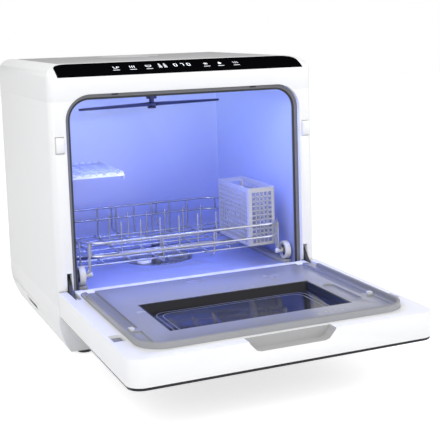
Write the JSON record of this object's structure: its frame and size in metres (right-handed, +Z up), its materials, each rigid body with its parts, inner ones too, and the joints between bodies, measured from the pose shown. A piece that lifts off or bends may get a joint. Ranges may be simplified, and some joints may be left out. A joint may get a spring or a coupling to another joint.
{
  "type": "countertop dishwasher",
  "caption": "Compact white box dishwasher with a drop-down door, wheeled wire rack, touch strip and filling cap on top",
  "frame": {"origin": "centre of the whole part's box at rest, door open, on the counter", "axes": "+Z up, front and open door towards -Y, +X to the right seen from the front"},
  "size_m": [0.42, 0.739, 0.435],
  "materials": {
    "white": "glossy white moulded plastic",
    "light_grey": "satin light grey plastic",
    "black_gloss": "black gloss panel",
    "dark_glass": "dark tinted glass",
    "grey_rubber": "grey sealing rubber",
    "tub_steel": "satin steel, lit blue by the light bar",
    "steel": "bright steel",
    "coated_wire": "light grey nylon-coated wire",
    "wheel_plastic": "white moulded wheels",
    "liner": "pale grey moulded liner",
    "dark_plastic": "dark grey plastic",
    "mid_plastic": "grey plastic",
    "clear_light": "light bar lens",
    "circuit": "green circuit board"
  },
  "bodies": {
    "casing": {"base_tray": "white", "rubber_feet": "dark_plastic", "left_side_panel": "white", "right_side_panel": "white", "front_frame": "white", "back_panel": "light_grey", "top_cover": "white", "top_panel": "light_grey", "control_panel": "black_gloss", "board_carrier": "mid_plastic", "control_board": "circuit", "mouth_gasket": "grey_rubber", "tub": "tub_steel", "rack_runners": "liner", "light_bar": "clear_light", "feed_pipe": "mid_plastic", "sump": "mid_plastic", "filter_plate": "steel", "water_tank": "light_grey", "fill_collar": "light_grey", "tank_duct": "light_grey", "hinge_brackets": "steel", "latch_housings": "mid_plastic", "wash_pump": "mid_plastic", "pump_motor": "dark_plastic", "flow_heater": "steel", "drain_pump": "mid_plastic", "power_board": "circuit", "inlet_valve": "light_grey", "drain_outlet": "light_grey", "cable_gland": "dark_plastic", "case_screws": "steel"},
    "door": {"door_shell": "white", "door_liner": "liner", "door_window": "dark_glass", "door_glass": "dark_glass", "hinge_pins": "steel"},
    "rack": {"rack_base": "coated_wire", "rack_front": "coated_wire", "rack_back": "coated_wire", "rack_left_side": "coated_wire", "rack_right_side": "coated_wire", "rack_legs": "coated_wire", "plate_tines": "coated_wire"},
    "wheel_left_front": {"wheel_left_front": "wheel_plastic"},
    "wheel_left_middle": {"wheel_left_middle": "wheel_plastic"},
    "wheel_left_rear": {"wheel_left_rear": "wheel_plastic"},
    "wheel_right_front": {"wheel_right_front": "wheel_plastic"},
    "wheel_right_middle": {"wheel_right_middle": "wheel_plastic"},
    "wheel_right_rear": {"wheel_right_rear": "wheel_plastic"},
    "cup_shelf": {"cup_shelf": "white"},
    "cutlery_basket": {"cutlery_basket": "light_grey"},
    "lower_arm": {"lower_spray_arm": "mid_plastic"},
    "upper_arm": {"upper_spray_arm": "mid_plastic"},
    "filter": {"filter_cup": "mid_plastic"},
    "float": {"water_float": "white"},
    "impeller": {"pump_impeller": "white"},
    "cap": {"fill_cap": "white"},
    "left_latch": {"left_latch": "white"},
    "right_latch": {"right_latch": "white"}
  },
  "joints": [
    {"name": "door_hinge", "type": "hinge", "parent": "casing", "child": "door", "pos_m": [0, -0.0445, 0.09], "axis": [-1, 0, 0], "range_deg": [0, 90]},
    {"name": "rack_slide", "type": "slide", "parent": "casing", "child": "rack", "axis": [0, 1, 0], "range_m": [-0.182, 0]},
    {"name": "wheel_left_front_roll", "type": "hinge", "parent": "rack", "child": "wheel_left_front", "pos_m": [-0.168, 0.0025, 0.1223], "axis": [1, 0, 0], "range_deg": [-5, 725]},
    {"name": "wheel_left_middle_roll", "type": "hinge", "parent": "rack", "child": "wheel_left_middle", "pos_m": [-0.168, 0.1215, 0.1223], "axis": [1, 0, 0], "range_deg": [-5, 725]},
    {"name": "wheel_left_rear_roll", "type": "hinge", "parent": "rack", "child": "wheel_left_rear", "pos_m": [-0.168, 0.2405, 0.1223], "axis": [1, 0, 0], "range_deg": [-5, 725]},
    {"name": "wheel_right_front_roll", "type": "hinge", "parent": "rack", "child": "wheel_right_front", "pos_m": [0.168, 0.0025, 0.1223], "axis": [1, 0, 0], "range_deg": [-5, 725]},
    {"name": "wheel_right_middle_roll", "type": "hinge", "parent": "rack", "child": "wheel_right_middle", "pos_m": [0.168, 0.1215, 0.1223], "axis": [1, 0, 0], "range_deg": [-5, 725]},
    {"name": "wheel_right_rear_roll", "type": "hinge", "parent": "rack", "child": "wheel_right_rear", "pos_m": [0.168, 0.2405, 0.1223], "axis": [1, 0, 0], "range_deg": [-5, 725]},
    {"name": "lower_arm_spin", "type": "hinge", "parent": "casing", "child": "lower_arm", "pos_m": [0, 0.1485, 0.116], "axis": [0, 0, 1], "continuous": true},
    {"name": "upper_arm_spin", "type": "hinge", "parent": "casing", "child": "upper_arm", "pos_m": [0, 0.1485, 0.358], "axis": [0, 0, 1], "continuous": true},
    {"name": "cup_shelf_fold", "type": "hinge", "parent": "rack", "child": "cup_shelf", "pos_m": [-0.1578, 0.1535, 0.253], "axis": [0, -1, 0], "range_deg": [0, 75]},
    {"name": "basket_lift", "type": "slide", "parent": "rack", "child": "cutlery_basket", "axis": [0, 0, 1], "range_m": [0, 0.06]},
    {"name": "filter_turn", "type": "hinge", "parent": "casing", "child": "filter", "pos_m": [0.03, 0.1305, 0.09], "axis": [0, 0, 1], "range_deg": [0, 45]},
    {"name": "float_rise", "type": "slide", "parent": "casing", "child": "float", "axis": [0, 0, 1], "range_m": [0, 0.006]},
    {"name": "impeller_spin", "type": "hinge", "parent": "casing", "child": "impeller", "pos_m": [-0.08, 0.2045, 0.046], "axis": [1, 0, 0], "continuous": true},
    {"name": "cap_turn", "type": "hinge", "parent": "casing", "child": "cap", "pos_m": [0, 0.2655, 0.43], "axis": [0, 0, 1], "range_deg": [0, 60]},
    {"name": "left_latch_press", "type": "slide", "parent": "casing", "child": "left_latch", "axis": [0, 1, 0], "range_m": [0, 0.006]},
    {"name": "right_latch_press", "type": "slide", "parent": "casing", "child": "right_latch", "axis": [0, 1, 0], "range_m": [0, 0.006]}
  ],
  "couplings": [
    {"joint": "wheel_left_front_roll", "follows": "rack_slide", "rad_per_m": -68.966},
    {"joint": "wheel_left_middle_roll", "follows": "rack_slide", "rad_per_m": -68.966},
    {"joint": "wheel_left_rear_roll", "follows": "rack_slide", "rad_per_m": -68.966},
    {"joint": "wheel_right_front_roll", "follows": "rack_slide", "rad_per_m": -68.966},
    {"joint": "wheel_right_middle_roll", "follows": "rack_slide", "rad_per_m": -68.966},
    {"joint": "wheel_right_rear_roll", "follows": "rack_slide", "rad_per_m": -68.966}
  ]
}
